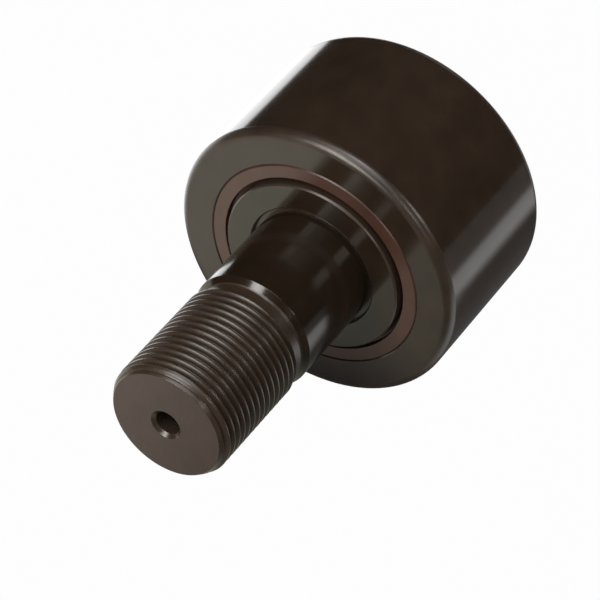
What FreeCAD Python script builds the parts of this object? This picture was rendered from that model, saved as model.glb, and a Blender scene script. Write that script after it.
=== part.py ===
import FreeCAD, Part
import math
import os
import Sketcher

# Stud-type cam follower (track roller) with a full set of needle rollers.
#
# A hardened outer ring turns on loose needle rollers round a fixed stud. The stud is one piece:
# a hex-socket head flange, the inner raceway, a seat for the pressed end plate, a ground shank,
# a relief groove and a 1 1/4-12 thread. A plastic seal sits in each side of the outer ring.
#
# Frame: the origin is the centre of the end plate's outer face, which is clamped against the
# machine. +X runs along the stud towards its thread, so the roller lies at X below 0, and +Z is up.
# Each turned piece is drawn about its own Z axis, from Z = 0 upwards, and is then laid along X.

NEEDLE_COUNT = 28

# alias, size in millimetres (angles in degrees), meaning
SIZES = [
    ("roller_radius", 38.1, "outer ring, outside radius (3 in across)"),
    ("roller_width", 44.45, "outer ring, width (1 3/4 in)"),
    ("roller_edge_radius", 2.38, "rounding of the running surface's two edges"),
    ("seal_seat_radius", 28.575, "outer ring, radius of the groove that holds a seal"),
    ("seal_thickness", 3.175, "seal, thickness and depth of its groove"),
    ("side_bore_radius", 25.4, "outer ring, radius of the space round a plate, behind the seal"),
    ("side_bore_depth", 5.44, "outer ring, depth from a side face to a rib"),
    ("rib_bore_radius", 20.6, "outer ring, radius inside the ribs that keep the needles in"),
    ("ring_raceway_radius", 23.8525, "outer ring, radius that the needles run on"),
    ("side_edge_chamfer", 0.3, "outer ring, chamfer at the mouth of each seal groove"),
    ("needle_radius", 2.38125, "needle roller, radius (3/16 in across)"),
    ("needle_length", 28.575, "needle roller, length"),
    ("needle_chamfer", 0.4, "needle roller, chamfer of its ends"),
    ("needle_circle_radius", 21.45125, "circle of the needles' axes"),
    ("needle_end_gap", 0.1, "room between a needle's end and a rib"),
    ("head_proud", 0.8, "stud head, how far it stands out past the ring's side face"),
    ("plate_proud", 1.19, "end plate, how far it stands out past the ring's side face"),
    ("plate_radius", 23.8125, "end plate and head flange, radius (1 7/8 in across)"),
    ("plate_thickness", 6.35, "end plate, thickness"),
    ("flange_thickness", 5.96, "stud head flange, thickness"),
    ("flange_chamfer", 0.4, "chamfer of the plate's and flange's outer edges"),
    ("stud_raceway_radius", 19.05, "stud, radius that the needles run on"),
    ("plate_seat_radius", 17.0, "stud, radius of the seat that the end plate is pressed on"),
    ("plate_mouth_chamfer", 0.3, "chamfer of the end plate's bore"),
    ("recess_depth", 1.2, "how far the plate's seat stops short of the clamping face"),
    ("shank_radius", 15.875, "stud, ground shank radius (1 1/4 in across)"),
    ("shank_relief", 0.3, "undercut at the root of the shank, behind the clamping face"),
    ("stud_reach", 63.5, "stud, length from the clamping face to its end (2 1/2 in)"),
    ("shoulder_to_end", 37.1, "from the thread-side end of the ground shank to the stud's end"),
    ("groove_radius", 14.3, "thread relief groove, radius"),
    ("thread_to_groove", 31.6, "from the stud's end to where the thread's crests stop"),
    ("thread_runout", 0.9, "length of the slope from the last crest into the relief groove"),
    ("thread_radius", 15.8, "thread, crest radius"),
    ("thread_root_radius", 14.58, "thread, root radius"),
    ("thread_pitch", 2.1166667, "thread, pitch (12 to the inch)"),
    ("thread_half_angle", 30.0, "thread, angle between a flank and the stud's cross-section"),
    ("thread_margin", 0.5, "how far the cutter stands outside the crests"),
    ("end_face_radius", 14.4, "stud, radius of the flat end face"),
    ("end_chamfer_length", 2.2, "stud, length of the chamfer at its end"),
    ("lube_hole_radius", 3.175, "axial lubrication hole, radius (1/4 in across)"),
    ("lube_mouth_radius", 4.04, "axial lubrication hole, radius of its countersink"),
    ("lube_hole_depth", 89.0, "axial lubrication hole, depth from the stud's end"),
    ("cross_hole_radius", 2.38, "cross hole from the axial hole to the inner raceway"),
    ("shank_hole_radius", 2.38, "radial lubrication hole in the shank"),
    ("shank_hole_distance", 15.875, "from the clamping face to the shank's radial hole"),
    ("hex_across_flats", 19.05, "hex socket in the head, across flats (3/4 in)"),
    ("hex_depth", 12.7, "hex socket in the head, depth"),
    ("hex_mouth_radius", 11.6, "hex socket, radius of the countersink at its mouth"),
    ("lip_gap", 0.05, "running gap between a seal's lip and the plate or flange inside it"),
    ("seal_inner_radius", 24.9, "seal, inner radius of the face that shows"),
    ("seal_lip_depth", 1.9, "seal, depth of the straight inner wall above the lip"),
    ("seal_lip_thickness", 0.6, "seal, thickness of the lip where it meets the plate"),
    ("seal_lip_slope", 0.35, "seal, height of the slopes on both sides of the lip"),
    ("seal_rim_chamfer", 0.32, "seal, chamfer of the outer edge that shows"),
]

# Lengths along the axis that several pieces share, as expressions on the sheet.
STUD_LENGTH = "(Sizes.head_proud + Sizes.roller_width + Sizes.plate_proud + Sizes.stud_reach)"
CLAMP_HEIGHT = "(Sizes.head_proud + Sizes.roller_width + Sizes.plate_proud)"
RING_START = "(-Sizes.plate_proud - Sizes.roller_width)"
RING_MIDDLE = "(-Sizes.plate_proud - Sizes.roller_width / 2)"
NEEDLE_SPACE = "(Sizes.needle_length + 2 * Sizes.needle_end_gap)"


def make_sheet(doc):
    """The spreadsheet of driving sizes, one aliased cell each."""
    sheet = doc.addObject("Spreadsheet::Sheet", "Sizes")
    for row, (alias, size, meaning) in enumerate(SIZES, start=1):
        sheet.set(f"A{row}", alias)
        sheet.set(f"B{row}", str(size))
        sheet.setAlias(f"B{row}", alias)
        sheet.set(f"C{row}", meaning)
    doc.recompute()
    return sheet


def value(expression):
    """The number that an expression on the sheet gives now."""
    result = sheet.evalExpression(expression)
    return float(getattr(result, "Value", result))


def new_body(name):
    """An empty body for one piece. Its label is the name of the piece's file."""
    body = doc.addObject("PartDesign::Body", name)
    body.Label = name
    return body


def new_sketch(body, name, role, height=None):
    """An empty sketch on one of the body's origin planes, or at a height above that plane."""
    sketch = body.newObject("Sketcher::SketchObject", name)
    plane = next(item for item in body.Origin.OriginFeatures if item.Role == role)
    sketch.AttachmentSupport = (plane, [""])
    sketch.MapMode = "FlatFace"
    if height:
        sketch.setExpression(".AttachmentOffset.Base.z", height)
    return sketch


def place_point(sketch, geometry, point, across, up):
    """Hold a point of the sketch at two expressions, across and up from the sketch's origin."""
    for kind, axis, expression in (("DistanceX", -2, across), ("DistanceY", -1, up)):
        if expression == "0":
            sketch.addConstraint(Sketcher.Constraint("PointOnObject", geometry, point, axis))
            continue
        constraint = Sketcher.Constraint(kind, -1, 1, geometry, point, value(expression))
        number = sketch.addConstraint(constraint)
        sketch.setExpression(f"Constraints[{number}]", expression)


def draw_outline(sketch, corners):
    """A closed outline of straight lines through corners, each a pair of expressions."""
    points = [FreeCAD.Vector(value(across), value(up), 0) for across, up in corners]
    count = len(points)
    for index, point in enumerate(points):
        sketch.addGeometry(Part.LineSegment(point, points[(index + 1) % count]))
    for index in range(count):
        after = (index + 1) % count
        sketch.addConstraint(Sketcher.Constraint("Coincident", index, 2, after, 1))
    for index, (across, up) in enumerate(corners):
        place_point(sketch, index, 1, across, up)


def draw_circle(sketch, radius, across="0", up="0"):
    """A circle with its centre at two expressions."""
    centre = FreeCAD.Vector(value(across), value(up), 0)
    sketch.addGeometry(Part.Circle(centre, FreeCAD.Vector(0, 0, 1), value(radius)))
    place_point(sketch, 0, 3, across, up)
    number = sketch.addConstraint(Sketcher.Constraint("Radius", 0, value(radius)))
    sketch.setExpression(f"Constraints[{number}]", radius)


def draw_hexagon(sketch, across_flats):
    """A regular hexagon round the sketch's origin, with a corner on its horizontal axis."""
    corner_radius = value(across_flats) / math.sqrt(3)
    turns = [math.radians(60 * index) for index in range(6)]
    points = [FreeCAD.Vector(math.cos(a), math.sin(a), 0) * corner_radius for a in turns]
    for index, point in enumerate(points):
        sketch.addGeometry(Part.LineSegment(point, points[(index + 1) % 6]))
    circle = sketch.addGeometry(Part.Circle(FreeCAD.Vector(), FreeCAD.Vector(0, 0, 1), corner_radius))
    sketch.toggleConstruction(circle)
    sketch.addConstraint(Sketcher.Constraint("Coincident", circle, 3, -1, 1))
    for index in range(6):
        sketch.addConstraint(Sketcher.Constraint("Coincident", index, 2, (index + 1) % 6, 1))
        sketch.addConstraint(Sketcher.Constraint("PointOnObject", index, 1, circle))
    for index in range(1, 6):
        sketch.addConstraint(Sketcher.Constraint("Equal", 0, index))
    sketch.addConstraint(Sketcher.Constraint("PointOnObject", 0, 1, -1))
    number = sketch.addConstraint(Sketcher.Constraint("Radius", circle, corner_radius))
    sketch.setExpression(f"Constraints[{number}]", f"{across_flats} / sqrt(3)")


def turn(body, name, corners):
    """Turn an outline, given as radius and height, about the body's Z axis."""
    sketch = new_sketch(body, f"{name}_outline", "XZ_Plane")
    draw_outline(sketch, corners)
    feature = body.newObject("PartDesign::Revolution", name)
    feature.Profile = sketch
    feature.ReferenceAxis = (sketch, ["V_Axis"])
    feature.Angle = 360
    doc.recompute()
    return feature


def must_remove(body, feature, before):
    """Stop if a cutting feature removed nothing."""
    doc.recompute()
    body.Tip = feature
    if not feature.Shape.Volume < before - 0.01:
        raise RuntimeError(f"{feature.Name} cuts nothing")


def lay_along_x(piece, start, turned_over=False):
    """Lay a piece along +X from start, or along -X if it is turned over."""
    angle = -90 if turned_over else 90
    piece.Placement.Rotation = FreeCAD.Rotation(FreeCAD.Vector(0, 1, 0), angle)
    piece.setExpression(".Placement.Base.x", start)


def make_stud():
    """The stud: head flange, inner raceway, plate seat, shank, groove and threaded end."""
    body = new_body("stud")
    plate_inside = f"{CLAMP_HEIGHT} - Sizes.plate_thickness"
    seat_end = f"{CLAMP_HEIGHT} - Sizes.recess_depth"
    relief_radius = "Sizes.shank_radius - Sizes.shank_relief"
    shoulder = f"{STUD_LENGTH} - Sizes.shoulder_to_end"
    crest_end = f"{STUD_LENGTH} - Sizes.thread_to_groove"
    turn(body, "turned_stud", [
        ("0", "0"),
        ("Sizes.plate_radius - Sizes.flange_chamfer", "0"),
        ("Sizes.plate_radius", "Sizes.flange_chamfer"),
        ("Sizes.plate_radius", "Sizes.flange_thickness"),
        ("Sizes.stud_raceway_radius", "Sizes.flange_thickness"),
        ("Sizes.stud_raceway_radius", plate_inside),
        ("Sizes.plate_seat_radius", plate_inside),
        ("Sizes.plate_seat_radius", seat_end),
        (relief_radius, seat_end),
        (relief_radius, f"{CLAMP_HEIGHT} - Sizes.shank_relief"),
        ("Sizes.shank_radius", CLAMP_HEIGHT),
        ("Sizes.shank_radius", shoulder),
        ("Sizes.groove_radius", f"{shoulder} + Sizes.shank_radius - Sizes.groove_radius"),
        ("Sizes.groove_radius", f"{crest_end} - Sizes.thread_runout"),
        ("Sizes.thread_radius", crest_end),
        ("Sizes.thread_radius", f"{STUD_LENGTH} - Sizes.end_chamfer_length"),
        ("Sizes.end_face_radius", STUD_LENGTH),
        ("0", STUD_LENGTH),
    ])
    cut_thread(body)
    cut_lube_holes(body)
    cut_hex_socket(body)
    lay_along_x(body, f"-{CLAMP_HEIGHT}")
    return body


def cut_thread(body):
    """Cut the right-handed thread as one helical groove, from the relief groove past the end."""
    before = body.Shape.Volume
    root_half_width = "Sizes.thread_pitch / 16"
    cutter_radius = "Sizes.thread_radius + Sizes.thread_margin"
    slope = "tan(Sizes.thread_half_angle * 1 deg)"
    depth = f"({cutter_radius} - Sizes.thread_root_radius)"
    mouth_half_width = f"({root_half_width} + {depth} * {slope})"
    start = f"({STUD_LENGTH} - Sizes.thread_to_groove - Sizes.thread_pitch)"
    sketch = new_sketch(body, "thread_outline", "XZ_Plane")
    draw_outline(sketch, [
        ("Sizes.thread_root_radius", f"{start} - {root_half_width}"),
        (cutter_radius, f"{start} - {mouth_half_width}"),
        (cutter_radius, f"{start} + {mouth_half_width}"),
        ("Sizes.thread_root_radius", f"{start} + {root_half_width}"),
    ])
    thread = body.newObject("PartDesign::SubtractiveHelix", "thread")
    thread.Profile = sketch
    thread.ReferenceAxis = (sketch, ["V_Axis"])
    thread.Mode = 0
    thread.LeftHanded = False
    thread.setExpression("Pitch", "Sizes.thread_pitch")
    thread.setExpression("Height", "Sizes.thread_to_groove + 3 * Sizes.thread_pitch")
    must_remove(body, thread, before)


def cut_lube_holes(body):
    """The axial hole from the threaded end, and the radial holes that lead out of it."""
    before = body.Shape.Volume
    sketch = new_sketch(body, "axial_hole_centre", "XY_Plane", STUD_LENGTH)
    draw_circle(sketch, "Sizes.lube_hole_radius")
    doc.recompute()
    hole = body.newObject("PartDesign::Hole", "axial_hole")
    hole.Profile = sketch
    doc.recompute()
    hole.DepthType = "Dimension"
    hole.DrillPoint = "Angled"
    hole.DrillPointAngle = 118
    hole.HoleCutType = "Countersink"
    hole.HoleCutCountersinkAngle = 90
    hole.setExpression("Diameter", "2 * Sizes.lube_hole_radius")
    hole.setExpression("HoleCutDiameter", "2 * Sizes.lube_mouth_radius")
    hole.setExpression("Depth", "Sizes.lube_hole_depth")
    must_remove(body, hole, before)

    before = body.Shape.Volume
    raceway_middle = "(Sizes.head_proud + Sizes.roller_width / 2)"
    sketch = new_sketch(body, "cross_hole_outline", "XZ_Plane")
    draw_circle(sketch, "Sizes.cross_hole_radius", "0", raceway_middle)
    cross_hole = body.newObject("PartDesign::Pocket", "cross_hole")
    cross_hole.Profile = sketch
    cross_hole.Type = "ThroughAll"
    cross_hole.Midplane = True
    must_remove(body, cross_hole, before)

    # The sketch's normal points along -Y, and a reversed pocket runs with it, so this hole opens
    # at -Y.
    before = body.Shape.Volume
    sketch = new_sketch(body, "shank_hole_outline", "XZ_Plane")
    hole_height = f"({CLAMP_HEIGHT} + Sizes.shank_hole_distance)"
    draw_circle(sketch, "Sizes.shank_hole_radius", "0", hole_height)
    shank_hole = body.newObject("PartDesign::Pocket", "shank_hole")
    shank_hole.Profile = sketch
    shank_hole.Type = "ThroughAll"
    shank_hole.Reversed = True
    must_remove(body, shank_hole, before)


def cut_hex_socket(body):
    """The hex socket in the head, with a countersunk mouth."""
    before = body.Shape.Volume
    sketch = new_sketch(body, "hex_outline", "XY_Plane")
    draw_hexagon(sketch, "Sizes.hex_across_flats")
    socket = body.newObject("PartDesign::Pocket", "hex_socket")
    socket.Profile = sketch
    socket.Type = "Length"
    socket.Reversed = True
    socket.setExpression("Length", "Sizes.hex_depth")
    must_remove(body, socket, before)

    before = body.Shape.Volume
    sketch = new_sketch(body, "hex_mouth_outline", "XZ_Plane")
    draw_outline(sketch, [
        ("0", "0"),
        ("Sizes.hex_mouth_radius", "0"),
        ("0", "Sizes.hex_mouth_radius * tan(30 deg)"),
    ])
    mouth = body.newObject("PartDesign::Groove", "hex_mouth")
    mouth.Profile = sketch
    mouth.ReferenceAxis = (sketch, ["V_Axis"])
    mouth.Angle = 360
    must_remove(body, mouth, before)


def make_end_plate():
    """The end plate, pressed on the stud's seat to close the threaded side of the roller."""
    body = new_body("end_plate")
    chamfered_radius = "Sizes.plate_radius - Sizes.flange_chamfer"
    turn(body, "turned_plate", [
        ("Sizes.plate_seat_radius", "0"),
        (chamfered_radius, "0"),
        ("Sizes.plate_radius", "Sizes.flange_chamfer"),
        ("Sizes.plate_radius", "Sizes.plate_thickness - Sizes.flange_chamfer"),
        (chamfered_radius, "Sizes.plate_thickness"),
        ("Sizes.plate_seat_radius + Sizes.plate_mouth_chamfer", "Sizes.plate_thickness"),
        ("Sizes.plate_seat_radius", "Sizes.plate_thickness - Sizes.plate_mouth_chamfer"),
    ])
    lay_along_x(body, "-Sizes.plate_thickness")
    return body


def ring_half(side):
    """Bore outline of one half of the outer ring, from its raceway out to a side face."""
    if side == "lower":
        def at(depth):
            return depth
    else:
        def at(depth):
            return f"Sizes.roller_width - ({depth})"
    rib_inside = f"(Sizes.roller_width - {NEEDLE_SPACE}) / 2"
    corners = [
        ("Sizes.seal_seat_radius + Sizes.side_edge_chamfer", at("0")),
        ("Sizes.seal_seat_radius", at("Sizes.side_edge_chamfer")),
        ("Sizes.seal_seat_radius", at("Sizes.seal_thickness")),
        ("Sizes.side_bore_radius", at("Sizes.seal_thickness")),
        ("Sizes.side_bore_radius", at("Sizes.side_bore_depth")),
        ("Sizes.rib_bore_radius", at("Sizes.side_bore_depth")),
        ("Sizes.rib_bore_radius", at(rib_inside)),
        ("Sizes.ring_raceway_radius", at(rib_inside)),
    ]
    return corners


def make_outer_ring():
    """The outer ring, with its raceway, two ribs and two seal grooves."""
    body = new_body("outer_ring")
    corners = [("Sizes.roller_radius", "0")]
    corners += ring_half("lower")
    corners += reversed(ring_half("upper"))
    corners += [("Sizes.roller_radius", "Sizes.roller_width")]
    ring = turn(body, "turned_ring", corners)

    before = ring.Shape.Volume
    outer_edges = []
    for number, edge in enumerate(ring.Shape.Edges, start=1):
        is_round = isinstance(edge.Curve, Part.Circle)
        if is_round and abs(edge.Curve.Radius - value("Sizes.roller_radius")) < 0.001:
            outer_edges.append(f"Edge{number}")
    rounding = body.newObject("PartDesign::Fillet", "edge_rounding")
    rounding.Base = (ring, outer_edges)
    rounding.setExpression("Radius", "Sizes.roller_edge_radius")
    must_remove(body, rounding, before)
    lay_along_x(body, RING_START)
    return body


def make_seal(name, turned_over):
    """One seal. Its lip runs on the edge of the end plate or of the head flange."""
    body = new_body(name)
    lip_radius = "Sizes.plate_radius + Sizes.lip_gap"
    lip_top = "(Sizes.seal_thickness - Sizes.seal_lip_depth - Sizes.seal_lip_slope)"
    turn(body, f"{name}_ring", [
        (f"{lip_radius} + Sizes.seal_lip_slope", "0"),
        ("Sizes.seal_seat_radius", "0"),
        ("Sizes.seal_seat_radius", "Sizes.seal_thickness - Sizes.seal_rim_chamfer"),
        ("Sizes.seal_seat_radius - Sizes.seal_rim_chamfer", "Sizes.seal_thickness"),
        ("Sizes.seal_inner_radius", "Sizes.seal_thickness"),
        ("Sizes.seal_inner_radius", f"{lip_top} + Sizes.seal_lip_slope"),
        (lip_radius, lip_top),
        (lip_radius, f"{lip_top} - Sizes.seal_lip_thickness"),
    ])
    if turned_over:
        lay_along_x(body, f"{RING_START} + Sizes.seal_thickness", turned_over=True)
    else:
        lay_along_x(body, "-Sizes.plate_proud - Sizes.seal_thickness")
    return body


def make_needle(number):
    """One needle roller, at its place on the circle between the two raceways."""
    body = new_body(f"needle_{number:02d}")
    end_radius = "Sizes.needle_radius - Sizes.needle_chamfer"
    turn(body, f"turned_needle_{number:02d}", [
        ("0", "0"),
        (end_radius, "0"),
        ("Sizes.needle_radius", "Sizes.needle_chamfer"),
        ("Sizes.needle_radius", "Sizes.needle_length - Sizes.needle_chamfer"),
        (end_radius, "Sizes.needle_length"),
        ("0", "Sizes.needle_length"),
    ])
    angle = 360 * (number - 1) / NEEDLE_COUNT
    lay_along_x(body, f"{RING_MIDDLE} - Sizes.needle_length / 2")
    body.setExpression(".Placement.Base.y", f"Sizes.needle_circle_radius * cos({angle:.6f} deg)")
    body.setExpression(".Placement.Base.z", f"Sizes.needle_circle_radius * sin({angle:.6f} deg)")
    return body


def check_document(pieces):
    """Stop if an object failed to compute or a piece isn't one valid solid."""
    for item in doc.Objects:
        if "Invalid" in item.State or "Error" in item.State:
            raise RuntimeError(f"{item.Name} is in the state {item.State}")
        if item.TypeId == "Sketcher::SketchObject" and item.solve() != 0:
            raise RuntimeError(f"the sketch {item.Name} can't be solved")
    for piece in pieces:
        shape = piece.Shape
        if shape.isNull() or not shape.isValid() or len(shape.Solids) != 1:
            raise RuntimeError(f"{piece.Label} isn't one valid solid")


os.makedirs("parts", exist_ok=True)
doc = FreeCAD.newDocument("cam_follower")
sheet = make_sheet(doc)
pieces = [
    make_stud(),
    make_end_plate(),
    make_outer_ring(),
    make_seal("front_seal", turned_over=False),
    make_seal("rear_seal", turned_over=True),
]
pieces += [make_needle(number) for number in range(1, NEEDLE_COUNT + 1)]
doc.recompute()
check_document(pieces)
for piece in pieces:
    piece.Shape.exportStep(f"parts/{piece.Label}.step")
    box = piece.Shape.BoundBox
    print(f"{piece.Label}: {piece.Shape.Volume:.1f} mm3, x {box.XMin:.2f} to {box.XMax:.2f}")
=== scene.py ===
import math

import bmesh
import bpy
from mathutils import Matrix, Vector


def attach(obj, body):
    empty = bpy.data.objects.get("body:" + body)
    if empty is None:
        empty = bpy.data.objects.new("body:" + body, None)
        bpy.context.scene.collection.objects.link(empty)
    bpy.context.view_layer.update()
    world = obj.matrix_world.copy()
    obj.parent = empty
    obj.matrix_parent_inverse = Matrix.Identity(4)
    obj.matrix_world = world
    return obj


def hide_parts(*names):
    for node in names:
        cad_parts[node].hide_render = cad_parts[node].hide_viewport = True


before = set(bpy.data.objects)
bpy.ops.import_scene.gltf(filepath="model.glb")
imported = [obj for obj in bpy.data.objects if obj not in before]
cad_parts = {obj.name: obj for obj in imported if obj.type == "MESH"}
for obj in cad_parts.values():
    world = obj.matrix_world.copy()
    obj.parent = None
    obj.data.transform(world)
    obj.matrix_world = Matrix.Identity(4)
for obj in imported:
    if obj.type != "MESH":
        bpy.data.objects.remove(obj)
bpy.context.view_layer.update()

# Looks of a stud-type cam follower, in the part's frame: +X along the stud to its thread, +Z up,
# origin at the centre of the end plate's outer face. Lengths are in millimetres, except that
# the lights and the table's light are placed in metres.

MM = 0.001
AROUND = 288                    # columns round the axis
FLOOR_HEIGHT = -38.15

# Sizes of the CAD pieces that the looks repeat. Names in START, END and BACK are places along X.
RING_RADIUS = 38.088            # a hair under the part, so that the looks stay inside its box
RING_START = -45.64
RING_END = -1.19
RING_EDGE = 2.38                # rounding of the roller's two edges
RING_RACE_RADIUS = 23.8525
RING_RACE_START = -37.8025
RING_RACE_END = -9.0275
RIB_BORE_RADIUS = 20.6
SEAL_SEAT_RADIUS = 28.575
SEAL_SEAT_DEPTH = 3.175
SEAL_OPENING_RADIUS = 24.9
SEAL_LIP_RADIUS = 23.8825
SIDE_BORE_RADIUS = 25.4
SIDE_BORE_DEPTH = 5.44
PLATE_BACK = -6.35
PLATE_RADIUS = 23.8125
PLATE_BORE_RADIUS = 17.0
HEAD_START = -46.44
HEAD_END = -40.48
HEX_APOTHEM = 9.525
HEX_MOUTH = 11.6
HEX_DEPTH = 12.7
STUD_RACE_RADIUS = 19.05
RECESS_RADIUS = 15.575
RECESS_DEPTH = 1.2
SHANK_RADIUS = 15.875
SHANK_END = 26.4
LUBE_HOLE_X = 15.875
LUBE_HOLE_RADIUS = 2.38
LUBE_BORE_RADIUS = 3.175
LUBE_BORE_START = -25.5
LUBE_BORE_TIP = -27.41
GROOVE_RADIUS = 14.3
THREAD_START = 30.6
THREAD_LENGTH = 31.6
CREST_START = 31.9
CREST_RADIUS = 15.8
ROOT_RADIUS = 14.58
PITCH = 2.1166667
END_FACE_RADIUS = 14.4
END_CHAMFER = 2.2
STUD_END = 63.5
COUNTERSINK_RADIUS = 4.04
COUNTERSINK_START = 62.635

CLOUD_SCALE = 150               # clouds of colour, per metre
SPECK_SCALE = 900               # specks of gloss, per metre


# ---------------------------------------------------------------- meshes

class Skin:
    """Points, normals and faces of one mesh, gathered before the mesh is made."""

    def __init__(self):
        self.points = []
        self.normals = []
        self.faces = []
        self.finishes = []

    def row(self, points, normals):
        start = len(self.points)
        self.points.extend(points)
        self.normals.extend(normals)
        return list(range(start, len(self.points)))

    def face(self, corners, finish):
        self.faces.append(corners)
        self.finishes.append(finish)

    def band(self, low, high, finish=0, closed=True):
        """Quads between two rows of the same length."""
        count = len(low)
        for column in range(count if closed else count - 1):
            after = (column + 1) % count
            self.face((low[column], low[after], high[after], high[column]), finish)

    def refinish(self, finish, chosen):
        """Give a finish to the faces whose middle, as (x, radius), is chosen."""
        for number, face in enumerate(self.faces):
            middle = [sum(self.points[c][axis] for c in face) / len(face) for axis in range(3)]
            if chosen(middle[0], math.hypot(middle[1], middle[2])):
                self.finishes[number] = finish

    def make(self, name, materials):
        mesh = bpy.data.meshes.new(name)
        mesh.from_pydata([tuple(c * MM for c in p) for p in self.points], [], self.faces)
        for material in materials:
            mesh.materials.append(material)
        mesh.polygons.foreach_set("material_index", self.finishes)
        mesh.polygons.foreach_set("use_smooth", [True] * len(self.faces))
        mesh.normals_split_custom_set_from_vertices(self.normals)
        mesh.update()
        obj = bpy.data.objects.new(name, mesh)
        bpy.context.scene.collection.objects.link(obj)
        return obj


def angles():
    return [2 * math.pi * column / AROUND for column in range(AROUND)]


def circle_row(skin, x, radius, normal_x, normal_radius):
    """A row round the axis, with the same normal all the way round."""
    points = [(x, radius * math.cos(a), radius * math.sin(a)) for a in angles()]
    normals = [(normal_x, normal_radius * math.cos(a), normal_radius * math.sin(a)) for a in angles()]
    return skin.row(points, normals)


def rounded_runs(corners, closed=False, steps=6):
    """Smooth runs of (x, radius, normal x, normal radius) along corners (x, radius, rounding).

    The surface faces left of the direction of travel. A corner without rounding ends a run.
    """
    corners = [(Vector(c[:2]), c[2]) for c in corners]
    if closed:
        seam = (corners[-1][0] + corners[0][0]) / 2
        corners = [(seam, 0)] + corners + [(seam, 0)]
    runs = [[]]

    def put(point, along):
        runs[-1].append((point.x, point.y, -along.y, along.x))

    last = len(corners) - 1
    put(corners[0][0], (corners[1][0] - corners[0][0]).normalized())
    for index in range(1, last):
        corner, rounding = corners[index]
        before = (corner - corners[index - 1][0]).normalized()
        after = (corners[index + 1][0] - corner).normalized()
        bend = math.atan2(before.x * after.y - before.y * after.x, before.dot(after))
        if rounding == 0 or abs(bend) < 1e-6:
            put(corner, before)
            runs.append([])
            put(corner, after)
            continue
        side = 1 if bend > 0 else -1
        start = corner - before * rounding * math.tan(abs(bend) / 2)
        centre = start + Vector((-before.y, before.x)) * rounding * side
        for step in range(steps + 1):
            swing = bend * step / steps
            along = Vector((before.x * math.cos(swing) - before.y * math.sin(swing),
                            before.x * math.sin(swing) + before.y * math.cos(swing)))
            put(centre - Vector((-along.y, along.x)) * rounding * side, along)
    put(corners[last][0], (corners[last][0] - corners[last - 1][0]).normalized())
    return runs


def turned(skin, corners, closed=False, steps=6, finish=0):
    """Turn an outline round the axis. A last point on the axis closes the surface there."""
    for run in rounded_runs(corners, closed, steps):
        rows = []
        for x, radius, normal_x, normal_radius in run:
            if radius > 0:
                rows.append(circle_row(skin, x, radius, normal_x, normal_radius))
                continue
            tip = skin.row([(x, 0, 0)], [(normal_x, 0, 0)])[0]
            for column in range(AROUND):
                skin.face((rows[-1][column], rows[-1][(column + 1) % AROUND], tip), finish)
        for low, high in zip(rows, rows[1:]):
            skin.band(low, high, finish)


# ---------------------------------------------------------------- pieces

def outer_ring(materials):
    """The roller, with face (0) and edge (1) finishes."""
    skin = Skin()
    a, b = RING_START, RING_END
    side, depth = SIDE_BORE_RADIUS, SIDE_BORE_DEPTH
    seat, seat_depth = SEAL_SEAT_RADIUS, SEAL_SEAT_DEPTH
    turned(skin, [
        (a, RING_RADIUS, RING_EDGE), (b, RING_RADIUS, RING_EDGE),
        (b, seat + 0.3, 0.12), (b - 0.3, seat, 0.12), (b - seat_depth, seat, 0),
        (b - seat_depth, side, 0.15), (b - depth, side, 0), (b - depth, RIB_BORE_RADIUS, 0.3),
        (RING_RACE_END, RIB_BORE_RADIUS, 0.1), (RING_RACE_END, RING_RACE_RADIUS, 0),
        (RING_RACE_START, RING_RACE_RADIUS, 0), (RING_RACE_START, RIB_BORE_RADIUS, 0.1),
        (a + depth, RIB_BORE_RADIUS, 0.3), (a + depth, side, 0), (a + seat_depth, side, 0.15),
        (a + seat_depth, seat, 0), (a + 0.3, seat, 0.12), (a, seat + 0.3, 0.12),
    ], closed=True, steps=14)
    skin.refinish(1, lambda x, radius: (radius > RING_RADIUS - RING_EDGE
                                        and not a + RING_EDGE < x < b - RING_EDGE))
    return skin.make("ring_looks", materials)


def end_plate(materials):
    """The plate, with face (0) and edge (1) finishes."""
    skin = Skin()
    back, rim, bore = PLATE_BACK, PLATE_RADIUS, PLATE_BORE_RADIUS
    turned(skin, [
        (back, bore, 0), (back, rim - 0.4, 0.15), (back + 0.4, rim, 0.15),
        (-0.4, rim, 0.2), (0, rim - 0.4, 0.2), (0, bore + 0.3, 0.12), (-0.3, bore, 0.12),
    ], closed=True)
    skin.refinish(1, lambda x, radius: radius > rim - 0.45 or radius < bore + 0.35)
    return skin.make("plate_looks", materials)


def seal(name, face_x, outward, materials):
    """A seal with its outer side at face_x. outward is +1 or -1 along X."""
    rim, opening, lip = SEAL_SEAT_RADIUS, SEAL_OPENING_RADIUS, SEAL_LIP_RADIUS
    depths = [
        (SEAL_SEAT_DEPTH, rim, 0), (0.32, rim, 0.1), (0, rim - 0.32, 0.12), (0, opening, 0.2),
        (1.9, opening, 0.15), (2.225, lip, 0.05), (2.825, lip, 0.05), (SEAL_SEAT_DEPTH, lip + 0.33, 0),
    ]
    corners = [(face_x - outward * depth, radius, rounding) for depth, radius, rounding in depths]
    if outward < 0:
        corners.reverse()
    skin = Skin()
    turned(skin, corners, closed=True)
    return skin.make(name, materials)


def smooth_least(a, b, width):
    """The smaller of two numbers, with the crossing rounded over a width."""
    overlap = max(width - abs(a - b), 0) / width
    return min(a, b) - overlap * overlap * width / 4


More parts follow.
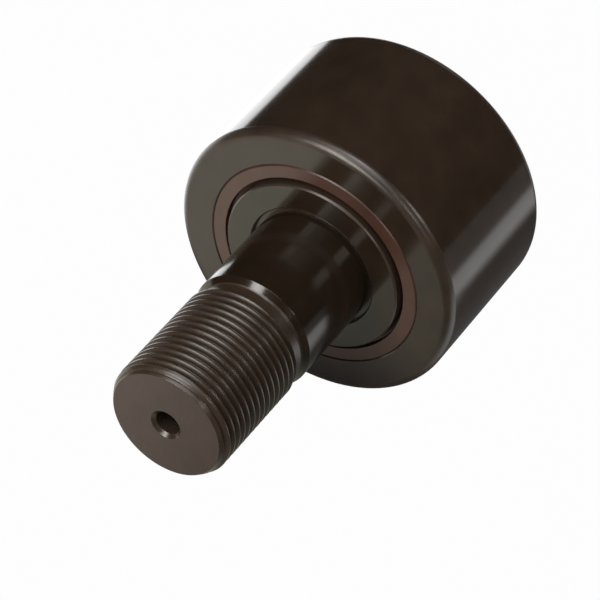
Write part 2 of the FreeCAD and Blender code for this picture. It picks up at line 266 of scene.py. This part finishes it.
def thread_radius(x, angle):
    """Radius of the threaded end's surface at a place along the axis and an angle round it.

    A 60 degree thread, cut off by the run-out at the groove and by the end's chamfer, with each
    edge rounded over a small width.
    """
    slope = math.tan(math.radians(30))
    turns = (x - (STUD_END - THREAD_LENGTH - PITCH)) / PITCH - (angle + math.pi / 2) / (2 * math.pi)
    off_centre = abs(turns - round(turns)) * PITCH
    flank = ROOT_RADIUS + (off_centre - PITCH / 16) / slope
    thread = smooth_least(CREST_RADIUS, flank, 0.09)
    thread = -smooth_least(-thread, -ROOT_RADIUS, 0.12)
    runout = GROOVE_RADIUS + (x - CREST_START + 0.9) * (CREST_RADIUS - GROOVE_RADIUS) / 0.9
    taper = END_FACE_RADIUS + (STUD_END - x) * (CREST_RADIUS - END_FACE_RADIUS) / END_CHAMFER
    envelope = smooth_least(-smooth_least(-runout, -GROOVE_RADIUS, 0.2), taper, 0.1)
    return smooth_least(thread, envelope, 0.06)


def add_thread(skin, start, end, finish):
    """The thread, on rows that follow its helix, so that its crests stay sharp."""
    per_turn = 18               # rows in one pitch
    mesh = bmesh.new()
    rows = []
    count = int((end - start + PITCH) / PITCH * per_turn) + 2
    for number in range(count):
        row = []
        for angle in angles():
            x = start - PITCH + PITCH * (number / per_turn + angle / (2 * math.pi))
            x = min(max(x, start), end)
            radius = thread_radius(x, angle)
            row.append(mesh.verts.new((x, radius * math.cos(angle), radius * math.sin(angle))))
        rows.append(row)
    for number in range(count - 1):
        for column in range(AROUND):
            after = (column + 1) % AROUND
            step = per_turn if after == 0 else 0
            if number + 1 + step >= count:
                continue
            corners = (rows[number][column], rows[number + step][after],
                       rows[number + 1 + step][after], rows[number + 1][column])
            if all(c.co.x <= start for c in corners) or all(c.co.x >= end for c in corners):
                continue
            mesh.faces.new(corners)
    bmesh.ops.remove_doubles(mesh, verts=mesh.verts, dist=1e-4)
    bmesh.ops.delete(mesh, geom=[v for v in mesh.verts if not v.link_faces], context="VERTS")
    mesh.verts.index_update()
    points, normals = [], []
    for vertex in mesh.verts:
        x, y, z = vertex.co
        angle = math.atan2(z, y)
        reach = 0.02
        swing = reach / CREST_RADIUS
        along = (thread_radius(x + reach, angle) - thread_radius(x - reach, angle)) / (2 * reach)
        round_ = (thread_radius(x, angle + swing) - thread_radius(x, angle - swing)) / (2 * reach)
        radial = Vector((0, math.cos(angle), math.sin(angle)))
        tangent = Vector((0, -math.sin(angle), math.cos(angle)))
        normal = (radial - Vector((1, 0, 0)) * along - tangent * round_).normalized()
        points.append((x, y, z))
        normals.append(tuple(normal))
    ids = skin.row(points, normals)
    for face in mesh.faces:
        skin.face(tuple(ids[v.index] for v in face.verts), finish)
    mesh.free()


def add_hex_socket(skin, finish):
    """The socket's floor, six walls and conical mouth."""
    floor_x = HEAD_START + HEX_DEPTH
    slope = math.tan(math.radians(30))

    def hex_radius(angle):
        off = (math.degrees(angle) - 90) % 60
        return HEX_APOTHEM / math.cos(math.radians(off - 30))

    def points_at(depth):
        found = []
        for angle in angles():
            radius = hex_radius(angle)
            x = floor_x if depth is None else HEAD_START + (HEX_MOUTH - radius) * slope + depth
            found.append((x, radius * math.cos(angle), radius * math.sin(angle)))
        return found

    floor_points, mouth_points = points_at(None), points_at(0)
    floor = skin.row(floor_points, [(-1, 0, 0)] * AROUND)
    middle = skin.row([(floor_x, 0, 0)], [(-1, 0, 0)])[0]
    for column in range(AROUND):
        skin.face((middle, floor[(column + 1) % AROUND], floor[column]), finish)
    per_side = AROUND // 6
    for side in range(6):
        columns = [(AROUND // 4 + side * per_side + step) % AROUND for step in range(per_side + 1)]
        facing = math.radians(90 + 60 * side + 30)
        normals = [(0, -math.cos(facing), -math.sin(facing))] * len(columns)
        low = skin.row([floor_points[c] for c in columns], normals)
        high = skin.row([mouth_points[c] for c in columns], normals)
        skin.band(low, high, finish, closed=False)
    tilt = math.radians(30)
    normals = [(-math.cos(tilt), -math.sin(tilt) * math.cos(a), -math.sin(tilt) * math.sin(a))
               for a in angles()]
    low = skin.row(mouth_points, normals)
    rim = skin.row([(HEAD_START, HEX_MOUTH * math.cos(a), HEX_MOUTH * math.sin(a)) for a in angles()],
                   normals)
    skin.band(low, rim, finish)


def add_drilled_shank(skin, start, end, finish, shaded_hole_finish):
    """The shank from start to end, with the lubrication hole that opens towards -Y. The hole's wall takes
    a darker finish as painted shade.
    """
    half = 9
    reach = SHANK_RADIUS * half * 2 * math.pi / AROUND
    places = [LUBE_HOLE_X + reach * step / half for step in range(-half, half + 1)]
    rows = [circle_row(skin, x, SHANK_RADIUS, 0, 1) for x in [start] + places + [end]]
    skin.band(rows[0], rows[1], finish)
    skin.band(rows[-2], rows[-1], finish)
    window = rows[1:-1]
    first, last = AROUND // 2 - half, AROUND // 2 + half
    for low, high in zip(window, window[1:]):
        skin.band(low[last:] + low[:first + 1], high[last:] + high[:first + 1], finish, closed=False)

    outline = [window[0][c] for c in range(first, last)] + [row[last] for row in window[:-1]]
    outline += [window[-1][c] for c in range(last, first, -1)] + [row[first] for row in window[:0:-1]]
    turns = []
    for corner in outline:
        x, y, z = skin.points[corner]
        turns.append((x - LUBE_HOLE_X, z, math.atan2(z, x - LUBE_HOLE_X)))
    before = outline
    for share in (0.3, 0.6, 0.85, 1):
        points = []
        for x, z, turn in turns:
            x += (LUBE_HOLE_RADIUS * math.cos(turn) - x) * share
            z += (LUBE_HOLE_RADIUS * math.sin(turn) - z) * share
            points.append((LUBE_HOLE_X + x, -math.sqrt(SHANK_RADIUS ** 2 - z * z), z))
        ring_row = skin.row(points, [(0, y / SHANK_RADIUS, z / SHANK_RADIUS) for x, y, z in points])
        skin.band(before, ring_row, finish)
        before = ring_row
    inward = [(-math.cos(turn), 0, -math.sin(turn)) for x, z, turn in turns]
    deep = [(x, -math.sqrt(LUBE_BORE_RADIUS ** 2 - z * z), z) for x, y, z in points]
    skin.band(skin.row(points, inward), skin.row(deep, inward), shaded_hole_finish)


def stud(materials):
    """The stud, with ground (0), turned (1), drilled (2) and threaded (3) finishes; the drilled one is
    darkened as painted shade inside the holes.
    """
    skin = Skin()
    ground, rough, inside, threaded = 0, 1, 2, 3
    add_hex_socket(skin, rough)
    turned(skin, [
        (HEAD_START, HEX_MOUTH, 0), (HEAD_START, PLATE_RADIUS - 0.4, 0.2),
        (HEAD_START + 0.4, PLATE_RADIUS, 0.2), (HEAD_END, PLATE_RADIUS, 0.1),
        (HEAD_END, STUD_RACE_RADIUS, 0), (PLATE_BACK, STUD_RACE_RADIUS, 0),
        (PLATE_BACK, PLATE_BORE_RADIUS, 0), (-RECESS_DEPTH, PLATE_BORE_RADIUS, 0.05),
        (-RECESS_DEPTH, RECESS_RADIUS, 0.1), (-0.3, RECESS_RADIUS, 0.1),
        (0, SHANK_RADIUS, 0.2), (0.5, SHANK_RADIUS, 0),
    ], finish=ground)
    skin.refinish(threaded, lambda x, radius: -1.25 < x < -0.35 and radius > 15.5)
    add_drilled_shank(skin, 0.5, SHANK_END - 0.5, ground, inside)
    turned(skin, [
        (SHANK_END - 0.5, SHANK_RADIUS, 0), (SHANK_END, SHANK_RADIUS, 0.12), (27.6, 14.675, 0),
    ], finish=ground)
    turned(skin, [
        (27.6, 14.675, 0), (27.975, GROOVE_RADIUS, 0.5), (THREAD_START, GROOVE_RADIUS, 0),
    ], finish=threaded)
    lead = 0.14                 # the chamfer's last stretch, past the threaded rows
    add_thread(skin, THREAD_START, STUD_END - lead, threaded)
    start_radius = END_FACE_RADIUS + lead * (CREST_RADIUS - END_FACE_RADIUS) / END_CHAMFER
    turned(skin, [
        (STUD_END - lead, start_radius, 0), (STUD_END, END_FACE_RADIUS, 0.12),
        (STUD_END, COUNTERSINK_RADIUS, 0.1), (COUNTERSINK_START, LUBE_BORE_RADIUS, 0.1),
        (60, LUBE_BORE_RADIUS, 0),
    ], finish=rough)
    # the axial bore's wall is darkened as painted shade
    turned(skin, [
        (60, LUBE_BORE_RADIUS, 0), (LUBE_BORE_START, LUBE_BORE_RADIUS, 0), (LUBE_BORE_TIP, 0, 0),
    ], finish=inside)
    return skin.make("stud_looks", materials)


# ---------------------------------------------------------------- materials

def surface(name, color, roughness, grain=0.04, wear=0.15):
    """A dark glossy surface. Its colour varies by wear in clouds, its roughness by grain in specks."""
    material = bpy.data.materials.new(name)
    material.use_nodes = True
    nodes, links = material.node_tree.nodes, material.node_tree.links
    shader = nodes["Principled BSDF"]
    shader.inputs["IOR"].default_value = 1.5
    place = nodes.new("ShaderNodeTexCoord")
    cloud = nodes.new("ShaderNodeTexNoise")
    cloud.inputs["Scale"].default_value = CLOUD_SCALE
    cloud.inputs["Detail"].default_value = 8
    links.new(place.outputs["Object"], cloud.inputs["Vector"])
    tint = nodes.new("ShaderNodeMapRange")
    tint.inputs["From Min"].default_value = 0.3
    tint.inputs["From Max"].default_value = 0.7
    tint.inputs["To Min"].default_value = 1 - wear
    tint.inputs["To Max"].default_value = 1 + wear
    links.new(cloud.outputs["Fac"], tint.inputs["Value"])
    shade = nodes.new("ShaderNodeVectorMath")
    shade.operation = "SCALE"
    shade.inputs[0].default_value = color
    links.new(tint.outputs["Result"], shade.inputs["Scale"])
    links.new(shade.outputs["Vector"], shader.inputs["Base Color"])
    fine = nodes.new("ShaderNodeTexNoise")
    fine.inputs["Scale"].default_value = SPECK_SCALE
    fine.inputs["Detail"].default_value = 3
    links.new(place.outputs["Object"], fine.inputs["Vector"])
    gloss = nodes.new("ShaderNodeMapRange")
    gloss.inputs["To Min"].default_value = roughness - grain
    gloss.inputs["To Max"].default_value = roughness + grain
    links.new(fine.outputs["Fac"], gloss.inputs["Value"])
    links.new(gloss.outputs["Result"], shader.inputs["Roughness"])
    return material


def glow(name, color, strength):
    """A plain surface that shines evenly."""
    material = bpy.data.materials.new(name)
    material.use_nodes = True
    nodes, links = material.node_tree.nodes, material.node_tree.links
    nodes.remove(nodes["Principled BSDF"])
    shine = nodes.new("ShaderNodeEmission")
    shine.inputs["Color"].default_value = (*color, 1)
    shine.inputs["Strength"].default_value = strength
    links.new(shine.outputs["Emission"], nodes["Material Output"].inputs["Surface"])
    return material


# ---------------------------------------------------------------- the object

ring_finish = surface("ring_black", (0.0222, 0.0147, 0.0101), 0.13, grain=0.02, wear=0.16)
edge_finish = surface("edge_black", (0.0225, 0.0148, 0.0100), 0.33, grain=0.05, wear=0.30)
plate_finish = surface("plate_black", (0.0165, 0.0109, 0.0073), 0.11, grain=0.02)
ground_finish = surface("stud_ground_black", (0.0120, 0.0077, 0.0047), 0.15, grain=0.02)
turned_finish = surface("stud_turned_black", (0.0275, 0.0178, 0.0130), 0.26, grain=0.05)
thread_finish = surface("stud_thread_black", (0.0265, 0.0176, 0.0117), 0.29, grain=0.05)
# darker inside the drilled holes: painted shade
shaded_bore_finish = surface("bore_painted_shade", (0.0105, 0.0064, 0.0046), 0.60)
seal_finish = surface("seal_brown", (0.050, 0.0222, 0.0155), 0.34)
needle_finish = surface("needle_bright", (0.55, 0.55, 0.55), 0.2)
needle_finish.node_tree.nodes["Principled BSDF"].inputs["Metallic"].default_value = 1

ring = outer_ring([ring_finish, edge_finish])
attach(ring, "roller")
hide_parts("outer_ring")

plate = end_plate([plate_finish, thread_finish])
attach(plate, "stud_body")
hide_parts("end_plate")

for name, node, face_x, outward in (("front_seal_looks", "front_seal", RING_END, 1),
                                    ("rear_seal_looks", "rear_seal", RING_START, -1)):
    piece = seal(name, face_x, outward, [seal_finish])
    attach(piece, "roller")
    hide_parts(node)

body = stud([ground_finish, turned_finish, shaded_bore_finish, thread_finish])
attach(body, "stud_body")
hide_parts("stud")

for name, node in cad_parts.items():
    if name.startswith("needle_"):
        node.data.materials.clear()
        node.data.materials.append(needle_finish)


# ---------------------------------------------------------------- floor, light and camera

def flat_disc(name, radius, height, material):
    """A level disc round the origin, with its radius in metres and its height in millimetres."""
    mesh = bmesh.new()
    bmesh.ops.create_circle(mesh, cap_ends=True, segments=96, radius=radius)
    data = bpy.data.meshes.new(name)
    mesh.to_mesh(data)
    mesh.free()
    data.materials.append(material)
    obj = bpy.data.objects.new(name, data)
    obj.location = (0, 0, height * MM)
    bpy.context.scene.collection.objects.link(obj)
    return obj


def table_light(name):
    """A glow standing in for the lit table as the part mirrors it, with the part's own shadow painted
    dark into it.

    In front of the roller it fades from left to right. Behind the roller's face it is bright far
    to the left, in a strip to the right, and far to the rear.
    """
    material = glow(name, (1, 1, 1), 1)
    nodes, links = material.node_tree.nodes, material.node_tree.links
    place = nodes.new("ShaderNodeTexCoord")
    split = nodes.new("ShaderNodeSeparateXYZ")
    links.new(place.outputs["Object"], split.inputs["Vector"])
    x, y = split.outputs["X"], split.outputs["Y"]

    def ramp(place, start, end, low, high):
        """A smooth change from low to high as the place goes from start to end, in metres."""
        node = nodes.new("ShaderNodeMapRange")
        node.interpolation_type = "SMOOTHSTEP"
        for socket, number in (("From Min", start), ("From Max", end), ("To Min", low), ("To Max", high)):
            node.inputs[socket].default_value = number
        links.new(place, node.inputs["Value"])
        return node.outputs["Result"]

    def combine(operation, one, other):
        """A sum, product or larger one of two places or numbers."""
        node = nodes.new("ShaderNodeMath")
        node.operation = operation
        for socket, value in zip(node.inputs, (one, other)):
            if isinstance(value, (int, float)):
                socket.default_value = value
            else:
                links.new(value, socket)
        return node.outputs["Value"]

    def blend(share, one, other):
        """A colour that goes from one to the other as the share goes from 0 to 1."""
        node = nodes.new("ShaderNodeMix")
        node.data_type = "RGBA"
        # a Mix node's colours are its inputs 6 and 7 and its output 2; input 0 is their share
        links.new(share, node.inputs[0])
        for number, value in ((6, one), (7, other)):
            if isinstance(value, tuple):
                node.inputs[number].default_value = value
            else:
                links.new(value, node.inputs[number])
        return node.outputs[2]

    # painted light and shadow: bright where the part mirrors the lit table, dark where the part's own
    # shadow falls
    left = ramp(y, -0.098, -0.057, 2.6, 0.08)
    corner = combine("MAXIMUM", combine("ADD", combine("MULTIPLY", x, 0.7), 0.0385), 0.0)
    strip = combine("MULTIPLY", ramp(combine("ADD", corner, y), 0.068, 0.088, 0.02, 1.30),
                    ramp(y, 0.110, 0.135, 1.0, 0.12))
    middle = combine("MULTIPLY", ramp(y, -0.100, -0.060, 0.0, 1.0), ramp(y, 0.050, 0.090, 1.0, 0.0))
    rear = combine("MULTIPLY", ramp(x, -0.200, -0.110, 0.9, 0.0), middle)
    behind = combine("ADD", combine("ADD", left, strip), rear)
    # darker beyond the stud: the stud's painted shadow
    ahead = combine("ADD", ramp(y, -0.050, 0.010, 1.04, 0.42), ramp(y, 0.010, 0.050, 0.08, -0.28))
    forward = ramp(x, -0.005, 0.025, 0.0, 1.0)
    backward = ramp(x, -0.005, 0.025, 1.0, 0.0)
    strength = combine("ADD", combine("MULTIPLY", forward, ahead), combine("MULTIPLY", backward, behind))
    links.new(strength, nodes["Emission"].inputs["Strength"])

    # warm tints of the painted reflections
    color = blend(forward, (1, 1, 1, 1), (1, 1.01, 0.84, 1))
    color = blend(ramp(x, 0.070, 0.085, 0.0, 1.0), color, (1, 0.86, 0.78, 1))
    links.new(color, nodes["Emission"].inputs["Color"])
    return material


def softbox(name, place, width, height, power, color=(1, 1, 1), aim=(0, 0, 0), mirrored=True):
    """A soft rectangular light at a place, facing an aim, in metres. The part may mirror it."""
    data = bpy.data.lights.new(name, "AREA")
    data.shape = "RECTANGLE"
    data.size = width
    data.size_y = height
    data.energy = power
    data.color = color
    obj = bpy.data.objects.new(name, data)
    obj.location = place
    facing = Vector(aim) - Vector(place)
    obj.rotation_mode = "QUATERNION"
    obj.rotation_quaternion = facing.to_track_quat("-Z", "Y")
    obj.visible_camera = False
    obj.visible_glossy = mirrored
    bpy.context.scene.collection.objects.link(obj)


# The camera sees a plain white floor and world. The part is lit by the lights and by the table's glow,
# which has the part's shadow painted into it.
floor = flat_disc("floor", 6.0, FLOOR_HEIGHT - 0.2, glow("floor_white", (1, 1, 1), 0.985))
floor.visible_diffuse = False
floor.visible_glossy = False
floor.visible_shadow = False
table = flat_disc("table", 0.55, FLOOR_HEIGHT, table_light("table_painted_glow"))
table.visible_camera = False

world = bpy.data.worlds.new("studio")
bpy.context.scene.world = world
world.use_nodes = True
backdrop = world.node_tree.nodes["Background"]
backdrop.inputs["Color"].default_value = (1, 1, 1, 1)
backdrop.inputs["Strength"].default_value = 0.985
world.cycles_visibility.diffuse = False
world.cycles_visibility.glossy = False

softbox("overhead", (0.22, 0.08, 0.70), 0.60, 0.60, 3.2)
softbox("top_card", (0.00, 0.10, 0.70), 0.18, 0.18, 0.95)
softbox("key_left", (0.228, -0.060, 0.183), 0.085, 0.10, 0.25, (1, 0.97, 0.95))
softbox("key_inner", (0.380, -0.128, 0.446), 0.10, 0.14, 0.22, (1, 0.90, 0.80))
softbox("key_right", (0.380, 0.384, 0.260), 0.09, 0.14, 0.42, (1, 0.90, 0.80))
softbox("key_side", (-0.104, 0.319, 0.218), 0.09, 0.08, 0.27)
softbox("front_card", (0.40, -0.055, 0.17), 0.17, 0.16, 1.0, (1, 0.98, 0.90), aim=(0.04, 0, 0))
softbox("rear_card", (-0.48, -0.04, 0.27), 0.24, 0.20, 0.12, aim=(-0.02, 0, 0.02))
softbox("fill_right", (0.10, 0.60, 0.05), 0.40, 0.40, 0.85, (1, 0.92, 0.86), mirrored=False)
softbox("fill_rear", (-0.70, 0.00, 0.08), 0.50, 0.40, 3.8, (1, 0.95, 0.90), mirrored=False)

AZIMUTH = math.radians(121.412)     # of the camera round the part
ELEVATION = math.radians(42.081)
AIM = Vector((31.277, 16.154, 21.130)) * MM
DISTANCE = 709.17 * MM
right = Vector((math.cos(AZIMUTH), math.sin(AZIMUTH), 0))
level = Vector((math.sin(AZIMUTH), -math.cos(AZIMUTH), 0))
back = level * math.cos(ELEVATION) + Vector((0, 0, math.sin(ELEVATION)))
up = back.cross(right)
camera_data = bpy.data.cameras.new("camera")
camera_data.lens = 186.904
camera_data.sensor_width = 36
camera_data.clip_start = 0.01
camera_data.clip_end = 50
camera = bpy.data.objects.new("camera", camera_data)
turn = Matrix((right, up, back)).transposed().to_4x4()
camera.matrix_world = Matrix.Translation(AIM + back * DISTANCE) @ turn
bpy.context.scene.collection.objects.link(camera)
bpy.context.scene.camera = camera
bpy.context.scene.view_settings.view_transform = "Standard"
